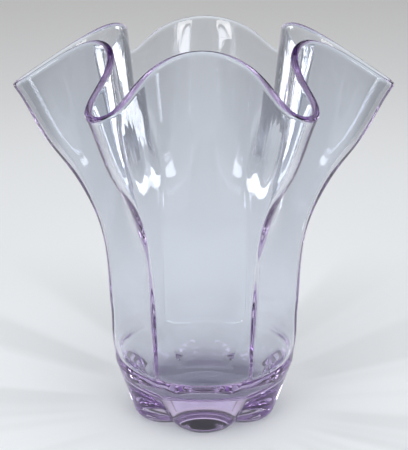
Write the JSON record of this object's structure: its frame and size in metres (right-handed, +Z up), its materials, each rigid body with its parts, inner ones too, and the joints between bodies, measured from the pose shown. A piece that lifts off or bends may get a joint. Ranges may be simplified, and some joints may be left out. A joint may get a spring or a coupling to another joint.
{
  "type": "crimped glass vase",
  "caption": "Flared glass vase on a solid lobed foot, with a soft polygonal body whose corners run out into deep folded pleats at a wavy rim.",
  "frame": {"origin": "centre of the flat underside of the foot, on the surface it stands on", "axes": "+Z up along the vase's axis; -Y faces the viewer of the picture through the middle of a flat panel; a pleat points along +X"},
  "size_m": [0.2268, 0.199, 0.2402],
  "materials": {
    "lavender_glass": "clear, pale lavender, glossy, fire-polished rim"
  },
  "bodies": {
    "root": {"vase": "lavender_glass"}
  },
  "joints": []
}
